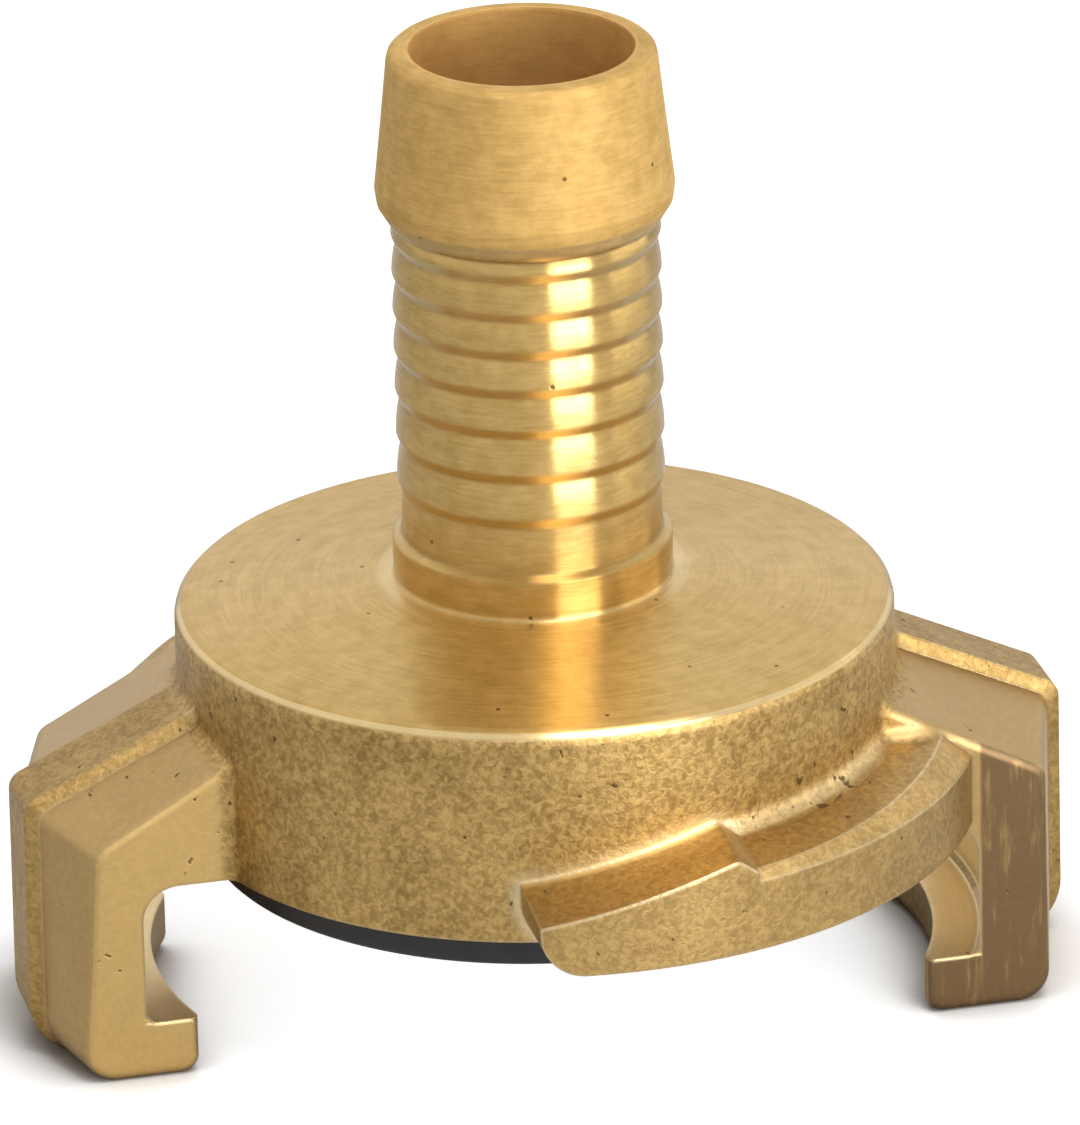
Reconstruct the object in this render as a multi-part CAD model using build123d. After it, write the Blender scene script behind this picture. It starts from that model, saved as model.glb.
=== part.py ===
"""Claw hose coupling: one half of a quarter-turn pair with a serrated hose tail.

The body is one hot forging in brass. Its dies part on the XZ plane, so every forged face
leans away from that plane, and a trimmed rib runs round each claw where the dies met.
The tail, the top face, the rim, the seal chamber and the bore are turned afterwards.
A moulded rubber ring sits in the chamber and stands proud of the rim.

Frame: the soles of the two claws stand on Z = 0, the waterway is the Z axis with the hose
tail up, and the claws lie on the X axis. The body is the same after half a turn about Z.
"""
import os
from math import cos, hypot, pi, radians, sin, tan

from build123d import *

# ---------------------------------------------------------------- driving sizes, mm and degrees
# Plan of the coupling: the distance between the claws, and the widths that follow from it
claw_distance = 40.0        # between the tips of the two feet, the size that any two halves share
foot_hook = 2.7             # from the tip of a foot out to the bored wall of its window
ramp_play = 0.3             # between the ramp and the wall of the other half's window
ramp_width = 4.2            # from the side of the disc out to the edge of the ramp
rim_width = 2.0             # from the mouth of the seal chamber out to the side of the disc
free_face_y = 6.0           # side face of the claw that the other half's ramp comes out by
ramp_face_y = 9.75          # side face of the claw that stops the other half

# Heights
foot_height = 3.0           # sole to the face that hooks behind the other half's ramp
rim_height = 10.4           # sole to the mating rim
disc_height = 11.25         # mating rim to the top edge of the disc
crown_rise = 1.2            # fall of the turned top face from the tail to the edge
edge_round = 0.7

# Outlines of a forged claw, each (reach of the top corner past the window's wall, the same at
# the sole, height of the top corner above the rim, fall of the arm's top in degrees, round at
# the sole)
rib_outline = (4.3, 4.4, 3.5, 25.0, 3.0)
rib_root_outline = (3.6, 3.7, 3.1, 25.0, 2.5)
free_face_outline = (1.45, 2.4, 2.2, 30.5, 1.6)
ramp_face_outline = (1.3, 1.5, 2.45, 28.0, 1.6)
rib_half_width = 2.2
rib_edge_half_width = 1.9   # of the rib's outer face, which the trimming left a little narrower
claw_root_depth = 6.2       # how far inside the disc the claw's outlines start
corner_round = 1.0
window_round = 1.8          # between the arm's underside and the leg
foot_root_round = 0.4
foot_tip_round = 0.9
claw_edge_round = 0.45
claw_root_round = 0.8       # where the arm grows out of the disc

# Ramps that the other half's feet climb, places along X and heights above the rim
ramp_start = -5.2
ramp_lead_height = 3.1
ramp_peak = 4.9             # the bump that has to be climbed
ramp_peak_height = 5.3
ramp_notch = 6.0            # where the bump has dropped
ramp_seat_height = 4.4      # where the foot comes to rest
ramp_lead_round = 2.2
ramp_peak_round = 0.5
ramp_draft = 4.6            # degrees that the ramp's top leans away from the parting plane
ramp_lead_draft = 8.0       # the same at the leading end
ramp_seat_hollow = 0.9      # hollow between the ramp and the disc where the foot comes to rest
ramp_bevel_foot = 3.7       # where a 45 degree bevel on the seat's outer edge starts

# Hose tail, from the top edge of the disc up
collar_radius = 7.07
collar_top = 3.55
collar_chamfer = 0.25
neck_radius = 6.6
serration_start = 6.0
serration_pitches = (2.4, 2.4, 2.15, 2.05, 2.0, 2.05, 1.3)
serration_root_radius = 6.53
serration_crest_radius = 6.76
serration_fall = 0.55       # height of the steep underside of each serration
serration_swell = 0.7       # share of its depth that a serration still has half way up
barb_foot_radius = 6.85
barb_shoulder_radius = 7.4
barb_shoulder_rise = 0.9    # foot of the barb to its shoulder
barb_crest_radius = 7.5
barb_crest_rise = 1.65      # foot of the barb to its widest
barb_length = 8.85          # foot of the barb to the tip of the tail
tail_tip_radius = 6.76
tip_round = 0.5
bore_radius = 5.65

# Seal chamber, a turned groove behind a lip, and the ring in it
chamber_undercut = 0.7      # groove past the lip that holds the ring
lip_height = 1.4
chamber_depth = 7.4
seal_seat_width = 7.4       # flat end of the chamber, from its wall in to the funnel
funnel_height = 2.6
seal_clearance = 0.1        # between the ring and the walls of its chamber
seal_width = 6.7            # from the wall of the chamber in to the ring's bore
seal_face_overlap = 0.8     # of the ring's bulging face over the rim
seal_proud = 1.9            # how far the face stands out of the rim
seal_face_round = 0.5
seal_relief_depth = 1.3     # groove behind the ring's sealing lip
seal_relief_height = 2.4

OVERCUT = 1.0               # how far a cutter runs past what it cuts
TOUCH = 0.01                # closer than this, an edge lies on a face
FLATS = 3                   # short flats that stand for the round of a turned corner

# ---------------------------------------------------------------- worked out from them
foot_tip_radius = claw_distance / 2
window_radius = foot_tip_radius + foot_hook
ramp_radius = window_radius - ramp_play
disc_radius = ramp_radius - ramp_width
chamber_mouth_radius = disc_radius - rim_width
chamber_radius = chamber_mouth_radius + chamber_undercut
funnel_radius = chamber_radius - seal_seat_width
seal_bore_radius = chamber_radius - seal_width

rim_z = rim_height
lip_top_z = rim_z + lip_height
chamber_top_z = rim_z + chamber_depth
top_edge_z = rim_z + disc_height
barb_foot_z = top_edge_z + serration_start + sum(serration_pitches)
tail_tip_z = barb_foot_z + barb_length


def at(radius, z):
    return Vector(radius, z)


def revolved(face):
    """Turn a face, drawn as radius and height, about the waterway."""
    return revolve(Plane.XZ * face, axis=Axis.Z)


def rounded_corner(radius, z, size, start_angle):
    """A convex quarter round near a turned corner, as short flats: the round's centre is given."""
    points = []
    for step in range(FLATS + 1):
        angle = radians(start_angle) + step * pi / 2 / FLATS
        points.append(at(radius + size * cos(angle), z + size * sin(angle)))
    return points


# ---------------------------------------------------------------- body: turned outside
def serration_outline():
    """Rounded teeth up the tail: a steep underside that holds, a swelling side that lets the hose on."""
    pieces = []
    z = top_edge_z + serration_start
    depth = serration_crest_radius - serration_root_radius
    for pitch in serration_pitches:
        crest_z = z + serration_fall
        following_z = z + pitch
        swell = at(serration_root_radius + serration_swell * depth, (crest_z + following_z) / 2)
        crest = at(serration_crest_radius, crest_z)
        pieces.append(Line(at(serration_root_radius, z), crest))
        pieces.append(ThreePointArc(crest, swell, at(serration_root_radius, following_z)))
        z = following_z
    return pieces


def outside_profile():
    """Half section of the disc and the hose tail, closed along the axis."""
    below_serrations = Polyline(
        at(0, rim_z),
        at(disc_radius, rim_z),
        *rounded_corner(disc_radius - edge_round, top_edge_z - edge_round, edge_round, 0),
        at(collar_radius, top_edge_z + crown_rise),
        at(collar_radius, top_edge_z + collar_top - collar_chamfer),
        at(neck_radius, top_edge_z + collar_top),
        at(serration_root_radius, top_edge_z + serration_start),
    )
    above_serrations = Polyline(
        at(serration_root_radius, barb_foot_z),
        at(barb_foot_radius, barb_foot_z),
        at(barb_shoulder_radius, barb_foot_z + barb_shoulder_rise),
        at(barb_crest_radius, barb_foot_z + barb_crest_rise),
        *rounded_corner(tail_tip_radius - tip_round, tail_tip_z - tip_round, tip_round, 0),
        at(0, tail_tip_z),
        at(0, rim_z),
    )
    return [*below_serrations.edges(), *serration_outline(), *above_serrations.edges()]


# ---------------------------------------------------------------- body: forged claws
def across_dies(y, outline):
    """Stand an outline drawn as X and Z on the plane across the dies at Y."""
    return Plane.XZ.offset(-y) * outline


def arm_outline(outline, start_x):
    """Straight outline of a claw from start_x outward: its sloping arm, and its leg to the sole."""
    top_reach, sole_reach, corner_height, slope, _ = outline
    top_x = window_radius + top_reach
    corner_z = rim_z + corner_height
    start_z = corner_z + (top_x - start_x) * tan(radians(slope))
    points = [(start_x, 0), (start_x, start_z), (top_x, corner_z), (window_radius + sole_reach, 0)]
    return make_face(Polyline(*points, close=True))


def claw_section(y, outline):
    """Outline of one claw at Y, with its outer corners rounded."""
    sole_round = outline[-1]
    face = arm_outline(outline, disc_radius - claw_root_depth)
    outer = face.vertices().sort_by(Axis.X)[2:]
    face = fillet(outer.sort_by(Axis.Y)[-1:], corner_round)
    lowest = face.vertices().filter_by(lambda corner: abs(corner.Y) < TOUCH)
    face = fillet(lowest.sort_by(Axis.X)[-1:], sole_round)
    return across_dies(y, face)


def claw_blank():
    """The claw as forged: rib in the middle, shoulders leaning down to both side faces."""
    rib = loft(
        [
            claw_section(-rib_half_width, rib_root_outline),
            claw_section(-rib_edge_half_width, rib_outline),
            claw_section(rib_edge_half_width, rib_outline),
            claw_section(rib_half_width, rib_root_outline),
        ],
        ruled=True,
    )
    free_shoulder = loft(
        [
            claw_section(rib_half_width, rib_root_outline),
            claw_section(free_face_y, free_face_outline),
        ],
        ruled=True,
    )
    ramp_shoulder = loft(
        [
            claw_section(-rib_half_width, rib_root_outline),
            claw_section(-ramp_face_y, ramp_face_outline),
        ],
        ruled=True,
    )
    return rib + free_shoulder + ramp_shoulder


def window_cutter():
    """The space bored inside the claws: it leaves the feet and the legs."""
    face = make_face(
        Polyline(
            at(0, -OVERCUT),
            at(foot_tip_radius, -OVERCUT),
            at(foot_tip_radius, foot_height),
            at(window_radius, foot_height),
            at(window_radius, rim_z),
            at(0, rim_z),
            close=True,
        )
    )
    wall_corners = face.vertices().sort_by(Axis.X)[-2:].sort_by(Axis.Y)
    face = fillet(wall_corners[-1:], window_round)
    foot_root = face.vertices().sort_by(Axis.X)[-2:].sort_by(Axis.Y)[:1]
    return revolved(chamfer(foot_root, foot_root_round))


def lies_at_y(edge, y):
    box = edge.bounding_box()
    return abs(box.min.Y - y) < TOUCH and abs(box.max.Y - y) < TOUCH


def claw():
    """One forged and bored claw, on +X, with the edges of its foot and side faces rounded."""
    bored = claw_blank() - window_cutter()
    foot_tip = bored.edges().filter_by(GeomType.CIRCLE).filter_by(
        lambda edge: abs(edge.center().Z) < TOUCH and abs(edge.radius - foot_tip_radius) < TOUCH
    )
    bored = fillet(foot_tip, foot_tip_round)
    for y in (free_face_y, -ramp_face_y):
        outer = bored.edges().filter_by(
            lambda edge: lies_at_y(edge, y) and hypot(edge.bounding_box().max.X, y) > window_radius + TOUCH
        )
        bored = fillet(outer, claw_edge_round)
    return bored


# ---------------------------------------------------------------- body: forged ramps
def ramp_section(distance):
    """Outline of the ramp on the -Y side, at a distance from the parting plane."""
    inset = disc_radius - distance
    lean = inset * tan(radians(ramp_draft))
    lead_lean = inset * tan(radians(ramp_lead_draft))
    face = make_face(
        Polyline(
            (ramp_start, rim_z),
            (ramp_start, rim_z + ramp_lead_height + lead_lean),
            (ramp_peak, rim_z + ramp_peak_height + lean),
            (ramp_notch, rim_z + ramp_seat_height + lean),
            (ramp_radius, rim_z + ramp_seat_height + lean),
            (ramp_radius, rim_z),
            close=True,
        )
    )
    lead_foot = face.vertices().sort_by(Axis.X)[:2].sort_by(Axis.Y)[:1]
    face = fillet(lead_foot, ramp_lead_round)
    peak = face.vertices().sort_by(Axis.Y)[-1:]
    face = fillet(peak, ramp_peak_round)
    return across_dies(-distance, face)


def seat_bevel_cutter():
    """Takes the outer edge off the ramp's seat: a ring with a 45 degree underside, past the notch."""
    foot_z = rim_z + ramp_bevel_foot
    reach = ramp_peak_height - ramp_bevel_foot
    outer_radius = ramp_radius + OVERCUT
    section = Polyline(
        at(outer_radius, foot_z - OVERCUT),
        at(ramp_radius - reach, foot_z + reach),
        at(outer_radius, foot_z + reach),
        close=True,
    )
    side = 2 * outer_radius
    past_notch = Box(side, side, top_edge_z, align=(Align.MIN, Align.CENTER, Align.MIN))
    return revolved(make_face(section)) & Pos(ramp_notch, 0, 0) * past_notch


def ramp():
    """One ramp, drawn across the dies, trimmed to its radius and to the slope of the claw's arm."""
    inner_y = ramp_face_y - claw_edge_round
    outer_y = ramp_radius + ramp_play
    blank = loft([ramp_section(inner_y), ramp_section(outer_y)], ruled=True)
    under_arm = across_dies(-inner_y, arm_outline(ramp_face_outline, ramp_start - OVERCUT))
    blank = blank & extrude(under_arm, outer_y, dir=(0, -1, 0)) - seat_bevel_cutter()
    upward = (Align.CENTER, Align.CENTER, Align.MIN)
    return blank & Pos(0, 0, rim_z) * Cylinder(ramp_radius, disc_height, align=upward)


def meets_disc(edge):
    """True for an edge where a claw or a ramp grows out of the side of the disc."""
    box = edge.bounding_box()
    seam = box.size.Y < TOUCH and abs(box.min.Y) < TOUCH
    on_side = all(
        abs(hypot(point.X, point.Y) - disc_radius) < TOUCH
        for point in (edge @ 0, edge @ 0.5, edge @ 1)
    )
    return on_side and not seam and rim_z + TOUCH < edge.center().Z < top_edge_z - edge_round - TOUCH


def forged_body():
    """Disc, tail, claws and ramps in one piece, with the hollows the dies left at their roots."""
    half = claw() + ramp()
    body = revolved(make_face(outside_profile())) + half + half.rotate(Axis.Z, 180)
    seat_roots = body.edges().filter_by(
        lambda edge: meets_disc(edge)
        and abs(edge.center().Y) > ramp_face_y + TOUCH
        and abs(edge.center().X) > ramp_notch
    )
    body = fillet(seat_roots, ramp_seat_hollow)
    arm_roots = body.edges().filter_by(
        lambda edge: meets_disc(edge) and abs(edge.center().Y) < ramp_face_y - TOUCH
    )
    return fillet(arm_roots, claw_root_round)


# ---------------------------------------------------------------- body: turned inside
def waterway_cutter():
    """Bore, funnel and the seal's chamber with its retaining lip."""
    outline = Polyline(
        at(0, rim_z - OVERCUT),
        at(chamber_mouth_radius, rim_z - OVERCUT),
        at(chamber_mouth_radius, lip_top_z),
        at(chamber_radius, lip_top_z + chamber_undercut),
        at(chamber_radius, chamber_top_z),
        at(funnel_radius, chamber_top_z),
        at(bore_radius, chamber_top_z + funnel_height),
        at(bore_radius, tail_tip_z + OVERCUT),
        at(0, tail_tip_z + OVERCUT),
        close=True,
    )
    return revolved(make_face(outline))


coupling_body = forged_body() - waterway_cutter()


# ---------------------------------------------------------------- seal ring
def seal_profile():
    """Half section of the ring: a bead held behind the lip, a bulging face, a relieved inner lip."""
    bead_radius = chamber_radius - seal_clearance
    waist_radius = chamber_mouth_radius - seal_clearance
    waist_top_z = lip_top_z + seal_clearance
    face_radius = chamber_mouth_radius + seal_face_overlap
    face_z = rim_z - seal_proud
    round_z = face_z + seal_face_round
    relief_z = rim_z + chamber_depth / 2
    return Polyline(
        *rounded_corner(seal_bore_radius + seal_face_round, round_z, seal_face_round, 180),
        *rounded_corner(face_radius - seal_face_round, round_z, seal_face_round, 270),
        at(face_radius, rim_z - seal_clearance),
        at(waist_radius, rim_z - seal_clearance),
        at(waist_radius, waist_top_z),
        at(bead_radius, waist_top_z + chamber_undercut),
        at(bead_radius, chamber_top_z),
        at(seal_bore_radius, chamber_top_z),
        at(seal_bore_radius, relief_z + seal_relief_height / 2),
        at(seal_bore_radius + seal_relief_depth, relief_z),
        at(seal_bore_radius, relief_z - seal_relief_height / 2),
        close=True,
    )


seal_ring = revolved(make_face(seal_profile()))

os.makedirs("parts", exist_ok=True)
export_step(coupling_body, "parts/coupling_body.step")
export_step(seal_ring, "parts/seal_ring.step")
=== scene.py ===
from math import cos, radians, sin

import bmesh
import bpy
from mathutils import Matrix, Vector

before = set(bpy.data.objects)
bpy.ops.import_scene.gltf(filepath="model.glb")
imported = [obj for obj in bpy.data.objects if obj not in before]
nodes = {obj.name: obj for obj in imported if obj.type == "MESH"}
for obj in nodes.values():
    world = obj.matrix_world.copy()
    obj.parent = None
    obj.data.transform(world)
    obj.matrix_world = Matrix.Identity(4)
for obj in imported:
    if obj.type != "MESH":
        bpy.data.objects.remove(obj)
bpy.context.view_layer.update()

# ---------------------------------------------------------------- coupling body
# One hot forging in brass, shot-blasted, with the tail, the top face, the bore and the
# insides of the claws turned bright. The forged skin stays granular and olive, with pits.
# The sizes of its finish are in millimetres.
disc_radius = 18.2
tail_radius = 7.9
collar_radius = 7.07
bore_radius = 5.8
chamber_radius = 17.05
window_radius = 22.7
foot_height = 3.0
rim_height = 10.4
chamber_top = 17.95
turned_from = 21.2              # from here up, the lathe has cleaned the whole outside
rim_line_height = 21.4          # where a rubbed line along the top face's edge is painted paler, a painted highlight
tail_start = 22.55
collar_foot_height = 23.0
barb_height = 42.0
rib_half_width = 2.2
free_face_y = 6.0
ramp_face_y = 9.75
pit_cluster = (11.7, -13.9, 16.6)
pit_cluster_core = 1.5
pit_cluster_reach = 4.5

forged_pale = (0.64, 0.43, 0.16, 1)
forged_deep = (0.285, 0.175, 0.055, 1)
dirt_and_shade = (0.060, 0.036, 0.014, 1)
smooth_gold = (0.47, 0.315, 0.135, 1)
warm_gold = (0.62, 0.42, 0.165, 1)
turned_gold = (0.68, 0.46, 0.175, 1)
turned_deep = (0.50, 0.325, 0.10, 1)
reflection_shade_brown = (0.20, 0.125, 0.06, 1)
rub_and_highlight_gold = (0.95, 0.80, 0.50, 1)
bore_copper = (0.80, 0.47, 0.17, 1)

edge_softness = 0.00028         # these four are in metres, as their nodes take them
corner_reach = 0.001
forged_relief = 0.00012
lathe_relief = 0.00003


class Finish:
    """One socket among a finish's nodes; sums and products written on it add Math nodes."""

    def __init__(self, tree, socket=None):
        self.tree = tree
        self.socket = socket

    def node(self, kind, settings=None, sockets=None, output=0):
        """Adds any other node: its settings first, then the values or links of its sockets."""
        made = self.tree.nodes.new(kind)
        for name, value in (settings or {}).items():
            setattr(made, name, value)
        for name, value in (sockets or {}).items():
            if isinstance(value, Finish):
                self.tree.links.new(value.socket, made.inputs[name])
            else:
                made.inputs[name].default_value = value
        return Finish(self.tree, made.outputs[output] if made.outputs else None)

    def __add__(self, other):
        return self.node("ShaderNodeMath", {"operation": "ADD"}, {0: self, 1: other})

    def __sub__(self, other):
        return self.node("ShaderNodeMath", {"operation": "SUBTRACT"}, {0: self, 1: other})

    def __rsub__(self, other):
        return self.node("ShaderNodeMath", {"operation": "SUBTRACT"}, {0: other, 1: self})

    def __mul__(self, other):
        return self.node("ShaderNodeMath", {"operation": "MULTIPLY"}, {0: self, 1: other})

    def __or__(self, other):
        """The larger of the two, which joins two masks."""
        return self.node("ShaderNodeMath", {"operation": "MAXIMUM"}, {0: self, 1: other})

    def __abs__(self):
        return self.node("ShaderNodeMath", {"operation": "ABSOLUTE"}, {0: self})

    __radd__ = __add__


def new_material(name):
    """A bare material and the start of its nodes."""
    material = bpy.data.materials.new(name)
    material.use_nodes = True
    material.node_tree.nodes.clear()
    return material, Finish(material.node_tree)


def past(value, limit, blur):
    """0 up to the limit, then a smooth rise, as long as the blur, to 1."""
    sockets = {"Value": value, "From Min": limit, "From Max": limit + blur}
    return value.node("ShaderNodeMapRange", {"interpolation_type": "SMOOTHSTEP"}, sockets)


def short_of(value, limit, blur):
    """1 up to the limit, then a smooth fall, as long as the blur, to 0."""
    return 1 - past(value, limit, blur)


def blend_colours(share, first, second):
    """The second colour over the first. A Mix node has its colours at 6, 7 and output 2."""
    sockets = {"Factor": share, 6: first, 7: second}
    return share.node("ShaderNodeMix", {"data_type": "RGBA"}, sockets, output=2)


def vector_maths(operation, *values, output=0):
    settings = {"operation": operation}
    return values[0].node("ShaderNodeVectorMath", settings, dict(enumerate(values)), output)


def noise(place, scale, detail=2.0, roughness=0.5, distortion=0.0):
    sockets = {
        "Vector": place,
        "Scale": scale,
        "Detail": detail,
        "Roughness": roughness,
        "Distortion": distortion,
    }
    return place.node("ShaderNodeTexNoise", sockets=sockets)


def bumped(height, strength, distance, more=None):
    sockets = {"Height": height, "Strength": strength, "Distance": distance, **(more or {})}
    return height.node("ShaderNodeBump", sockets=sockets)


def shine(colour, roughness, normal, more=None):
    """The shader of a bare surface. Sockets that few finishes need are given by name."""
    sockets = {"Base Color": colour, "Roughness": roughness, "Normal": normal, **(more or {})}
    return colour.node("ShaderNodeBsdfPrincipled", sockets=sockets)


def millimetres(start):
    """Where a point of the surface is in the object's own frame, in millimetres."""
    place = start.node("ShaderNodeTexCoord", output="Object")
    return vector_maths("MULTIPLY", place, (1000, 1000, 1000))


brass, start = new_material("forged and turned brass")
place = millimetres(start)
x, y, z = [start.node("ShaderNodeSeparateXYZ", None, {0: place}, axis) for axis in "XYZ"]
flat = vector_maths("MULTIPLY", place, (1, 1, 0))
radius = vector_maths("LENGTH", flat, output="Value")
sideways = y * (past(x, -0.01, 0.02) * 2 - 1)   # from a claw's ramp to its free side

# The faces that the lathe and the boring tool have cleaned
on_top = past(z, turned_from, 0.1)
in_chamber = short_of(radius, chamber_radius, 0.05) * short_of(z, chamber_top, 0.05)
in_bore = short_of(radius, bore_radius, 0.05)
on_rim = short_of(z, rim_height + 0.05, 0.05) * short_of(radius, disc_radius - 0.1, 0.1)
on_foot = short_of(abs(z - foot_height), 0.06, 0.04) * short_of(radius, window_radius, 0.2)
before_free_face = short_of(sideways, free_face_y - 0.12, 0.06)
window_wall = short_of(abs(radius - window_radius), 0.06, 0.06) * short_of(z, rim_height, 0.2)
on_window = window_wall * before_free_face * past(sideways, 0.1 - ramp_face_y, 0.1)
turned = on_top | in_chamber | in_bore | on_window | on_rim | on_foot
on_tail = past(z, tail_start, 0.1) * short_of(radius, tail_radius, 0.1)
on_barb = on_tail * past(z, barb_height, 0.4)
by_collar = short_of(radius, collar_radius + 0.5, 0.7) * short_of(z, collar_foot_height, 0.2)
at_collar_foot = on_top * by_collar
rim_line = short_of(abs(z - rim_line_height), 0.08, 0.06) * past(radius, disc_radius - 0.7, 0.2)

# The forged faces: coarse on the disc and the ribs, smoother where the dies slid along the claws
on_disc = short_of(radius, disc_radius + 0.2, 0.6)
off_disc = 1 - on_disc
on_rib = short_of(abs(y), rib_half_width - 0.1, 0.2) * off_disc
on_ramp = past(abs(y), ramp_face_y + 0.2, 0.2) * off_disc
free_side = past(sideways, free_face_y - 0.1, 0.05) * short_of(sideways, free_face_y + 0.1, 0.05)
on_free_face = free_side * off_disc
coarse = (on_disc | on_rib | on_ramp * 0.6) * 0.8 + 0.2

# Edges are painted bright as highlights, and corners are painted dark as shade
softened = start.node("ShaderNodeBevel", {"samples": 2}, {"Radius": edge_softness})
normal = start.node("ShaderNodeNewGeometry", output="Normal")
bend = past(1 - vector_maths("DOT_PRODUCT", normal, softened, output="Value"), 0.02, 0.10)
reach = {"Distance": corner_reach}
openness = start.node("ShaderNodeAmbientOcclusion", {"samples": 3}, reach, output="AO")
# painted shade: the colour darkens where ambient occlusion finds other surfaces close, except at
# the collar's foot
corner_shade = short_of(openness, 0.35, 0.50) * (1 - at_collar_foot)
by_disc = past(radius, disc_radius - 0.3, 0.25) * short_of(radius, disc_radius + 0.35, 0.35)
# painted highlight: a pale line along the corner where a ramp meets the disc side
ramp_corner_highlight = by_disc * past(abs(y), ramp_face_y, 1.0) * short_of(openness, 0.55, 0.40)
edge_highlights = (bend * past(openness, 0.80, 0.15) * (1 - on_rib * 0.8)) | ramp_corner_highlight
facing = start.node("ShaderNodeTexCoord", output="Normal")
upward = start.node("ShaderNodeSeparateXYZ", None, {0: facing}, "Z")
under = on_tail * short_of(upward, -0.5, 0.35)  # the undersides of the serrations

# Forged skin: curly grains on broad patches, and pits that crowd above one ramp's seat
grain = noise(place, scale=2.7, detail=4.0, roughness=0.66, distortion=0.6)
grains = past(grain, 0.34, 0.34)
patches = noise(place, scale=0.33, roughness=0.55)
olive = blend_colours(grains * 0.72 + past(patches, 0.3, 0.4) * 0.28, forged_deep, forged_pale)
smooth = blend_colours(on_free_face, smooth_gold, warm_gold)
skin = blend_colours(on_rib * 0.35, blend_colours(coarse, smooth, olive), forged_deep)
from_cluster = vector_maths("DISTANCE", place, pit_cluster, output="Value")
crowd = short_of(from_cluster, pit_cluster_core, pit_cluster_reach - pit_cluster_core)
pits = past(noise(place, scale=1.25, roughness=0.6) + crowd * 0.09, 0.70, 0.06)

# The faces that stop the other half were trimmed, which left upright streaks; their dark brown is
# a painted reflection of dark surroundings
outside = past(radius, window_radius, 0.2) | short_of(z, foot_height, 0.1)
stop_face = short_of(abs(sideways + ramp_face_y), 0.15, 0.10) * outside
upright = vector_maths("MULTIPLY", place, (2.2, 2.2, 0.35))
streaks = noise(upright, scale=1.0, detail=3.0, roughness=0.65)
skin = blend_colours(stop_face * (1 - past(streaks, 0.50, 0.30) * 0.6), skin, reflection_shade_brown)
# painted highlights along the edges
skin = blend_colours(edge_highlights * 0.9, skin, rub_and_highlight_gold)
skin = blend_colours(pits * 0.8, skin, dirt_and_shade)
# painted shade in the corners, darkening the forged skin
skin = blend_colours(corner_shade * 0.5 * (1 - ramp_corner_highlight), skin, dirt_and_shade)
forged_height = (grains * 0.7 + patches * 0.6) * coarse - pits * 1.2
forged = shine(
    skin,
    0.34 + coarse * 0.10 - edge_highlights * 0.16 + pits * 0.2,
    bumped(forged_height, 0.16, forged_relief, {"Normal": softened}),
    {"Metallic": 1.0},
)

# Lathe marks run round the waterway, on the flat faces as rings and up the tail as bands
around = vector_maths("MULTIPLY", vector_maths("NORMALIZE", flat), (4.5, 4.5, 4.5))
along = vector_maths("ADD", around, vector_maths("MULTIPLY", place, (0, 0, 6)))
marks = start.node(
    "ShaderNodeTexNoise",
    {"noise_dimensions": "4D"},
    {"Vector": along, "W": radius * 6.0, "Scale": 1.0, "Detail": 3.0, "Roughness": 0.7},
)
tarnish = noise(place, scale=0.8, detail=4.0, roughness=0.65)
to_speck = start.node("ShaderNodeTexVoronoi", sockets={"Vector": place, "Scale": 0.36})
specks = short_of(to_speck, 0.035, 0.025)
bright = blend_colours(past(marks * 0.5 + tarnish * 0.5, 0.30, 0.38), turned_deep, turned_gold)
# Paler gold, partly rubbed and partly painted sheen: the window walls and the serrations'
# undersides are lifted against the dark and orange they reflect, the collar's foot gets a painted
# highlight, and the rubbed top-edge line and the foot faces are paler
rub_and_painted_sheen = on_window * 0.1 | on_foot * 0.4 | rim_line * 0.35 | under * 0.3 | at_collar_foot * 0.25
bright = blend_colours(rub_and_painted_sheen, bright, rub_and_highlight_gold)
bright = blend_colours(in_bore * 0.35, bright, bore_copper)
bright = blend_colours(specks * 0.75, bright, dirt_and_shade)
# painted shade in the corners and under the serrations, broken up by the tarnish
painted_shade = (corner_shade * 0.85 + under * 0.3) * past(tarnish, 0.2, 0.35)
bright = blend_colours(painted_shade, bright, dirt_and_shade)
turned_height = marks + tarnish * 0.4 - specks * 1.5
turned_normal = bumped(turned_height, 0.22, lathe_relief, {"Normal": softened})
lathed = shine(
    bright,
    0.27 + marks * 0.08 - on_tail * 0.08 - rim_line * 0.14,
    turned_normal,
    {"Metallic": 1.0, "Anisotropic": 0.85, "Anisotropic Rotation": 0.25},
)
brushed = shine(bright, 0.64 + marks * 0.1, turned_normal, {"Metallic": 1.0})
clean = start.node("ShaderNodeMixShader", sockets={"Fac": on_barb, 1: lathed, 2: brushed})
whole = start.node("ShaderNodeMixShader", sockets={"Fac": turned, 1: forged, 2: clean})
start.node("ShaderNodeOutputMaterial", sockets={"Surface": whole})


def dress(piece, material):
    """Gives a piece its finish, as its only material."""
    piece.data.materials.clear()
    piece.data.materials.append(material)


dress(nodes["coupling_body"], brass)

# ---------------------------------------------------------------- seal ring
# A moulded ring of black rubber, pressed into the chamber and held there by its lip.
# Only its bulging face shows under the disc.
rubber_black = (0.012, 0.012, 0.013, 1)
rubber_dust = (0.022, 0.020, 0.022, 1)
rubber_relief = 0.00005         # metres, as its node takes it

rubber, start = new_material("black seal rubber")
place = millimetres(start)
bloom = noise(place, scale=0.6, detail=4.0, roughness=0.6)
dusty = blend_colours(past(bloom, 0.35, 0.40), rubber_black, rubber_dust)
moulded = bumped(noise(place, scale=6.0), 0.2, rubber_relief)
matt = shine(dusty, 0.45 + bloom * 0.15, moulded)
start.node("ShaderNodeOutputMaterial", sockets={"Surface": matt})
dress(nodes["seal_ring"], rubber)

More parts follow.
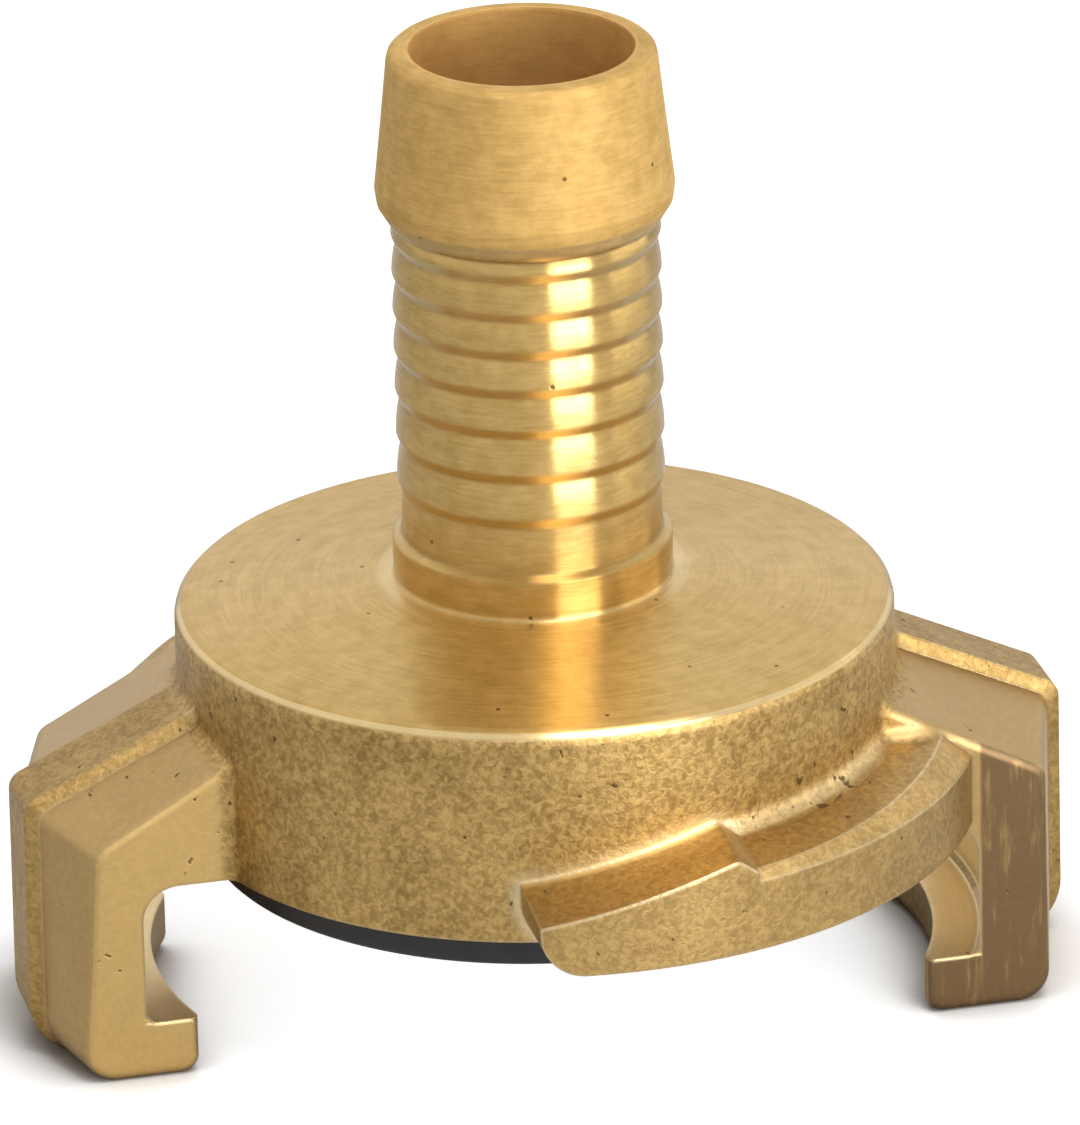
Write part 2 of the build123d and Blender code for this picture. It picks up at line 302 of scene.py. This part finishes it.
# ---------------------------------------------------------------- floor
# A sheet of white card under the coupling, lit strongly and given a glow that fades close under
# the claws, so that only shadows there, partly cast and partly painted, are left on it. From here
# on, sizes are in metres.
floor_half_side = 1.5
card_white = (0.80, 0.80, 0.80, 1)
card_lift = 0.90
mirrored_share = 0.25           # of that lift, which the brass reflects
shadow_reach = 0.008

card, start = new_material("white card")
seen = start.node("ShaderNodeLightPath", output="Is Camera Ray")
mirrored = start.node("ShaderNodeLightPath", output="Is Glossy Ray")
reach = {"Distance": shadow_reach}
openness = start.node("ShaderNodeAmbientOcclusion", {"samples": 6}, reach, output="AO")
# painted shadow: the glow fades where ambient occlusion finds the claws close
lift = (seen | mirrored * mirrored_share) * past(openness, 0.45, 0.54) * card_lift
paper = start.node("ShaderNodeBsdfDiffuse", sockets={"Color": card_white})
glow = start.node("ShaderNodeEmission", sockets={"Color": (1, 1, 1, 1), "Strength": lift})
lit_paper = start.node("ShaderNodeAddShader", sockets={0: paper, 1: glow})
start.node("ShaderNodeOutputMaterial", sockets={"Surface": lit_paper})

sheet = bmesh.new()
bmesh.ops.create_grid(sheet, x_segments=1, y_segments=1, size=floor_half_side)
floor_mesh = bpy.data.meshes.new("floor")
sheet.to_mesh(floor_mesh)
sheet.free()
floor = bpy.data.objects.new("floor", floor_mesh)
scene = bpy.context.scene
scene.collection.objects.link(floor)
floor.data.materials.append(card)

# ---------------------------------------------------------------- room and lamps
# White walls all round and four lamps: a small one overhead, a tall one in front to the
# right, a low one under that one, and a weak one on the right.
room_glow = 0.15                # on the object; what is seen of the walls is plain white
lamp_aim = Vector((0, 0, 0.025))

room = bpy.data.worlds.new("white room")
room.use_nodes = True
room.node_tree.nodes.clear()
start = Finish(room.node_tree)
seen = start.node("ShaderNodeLightPath", output="Is Camera Ray")
mirrored = start.node("ShaderNodeLightPath", output="Is Glossy Ray")
through = start.node("ShaderNodeLightPath", output="Is Transmission Ray")
strength = (seen | mirrored | through) * (1 - room_glow) + room_glow
walls = start.node("ShaderNodeBackground", sockets={"Color": (1, 1, 1, 1), "Strength": strength})
start.node("ShaderNodeOutputWorld", sockets={"Surface": walls})
scene.world = room


def away_from(azimuth, elevation):
    """The direction out from the coupling, from degrees; azimuth 0 is in front of it."""
    turn, rise = radians(azimuth), radians(elevation)
    return Vector((sin(turn) * cos(rise), -cos(turn) * cos(rise), sin(rise)))


def hang_lamp(name, azimuth, elevation, distance, width, height, power):
    """An area lamp that faces the middle of the coupling."""
    lamp = bpy.data.lights.new(name, "AREA")
    lamp.shape = "RECTANGLE"
    lamp.size = width
    lamp.size_y = height
    lamp.energy = power
    holder = bpy.data.objects.new(name, lamp)
    away = away_from(azimuth, elevation)
    holder.location = lamp_aim + away * distance
    holder.rotation_euler = away.to_track_quat("Z", "Y").to_euler()
    scene.collection.objects.link(holder)


hang_lamp("overhead_lamp", 20, 68, distance=0.6, width=0.22, height=0.22, power=1.0)
hang_lamp("window_lamp", 24, 38, distance=0.6, width=0.36, height=0.6, power=1.0)
hang_lamp("low_lamp", 23, 5, distance=0.3, width=0.18, height=0.1, power=0.45)
hang_lamp("side_lamp", 85, 10, distance=0.4, width=0.35, height=0.2, power=0.22)

# ---------------------------------------------------------------- camera
# It stands in front, a little to the left and above, far off behind a long lens.
camera_azimuth = -13.3
camera_elevation = 22.9
camera_roll = -1.31
camera_distance = 0.566
camera_aim = Vector((0, 0, 0.02165))

lens = bpy.data.cameras.new("camera")
lens.lens = 358.6
lens.sensor_width = 36
lens.shift_x = 0.0054
lens.shift_y = 0.024
lens.clip_start = 0.01
camera = bpy.data.objects.new("camera", lens)
back = away_from(camera_azimuth, camera_elevation)
level = Vector((cos(radians(camera_azimuth)), sin(radians(camera_azimuth)), 0))
upright = back.cross(level)
right = level * cos(radians(camera_roll)) + upright * sin(radians(camera_roll))
up = upright * cos(radians(camera_roll)) - level * sin(radians(camera_roll))
turn = Matrix((right, up, back)).transposed().to_4x4()
camera.matrix_world = Matrix.Translation(camera_aim + back * camera_distance) @ turn
scene.collection.objects.link(camera)
scene.camera = camera
scene.view_settings.view_transform = "Standard"
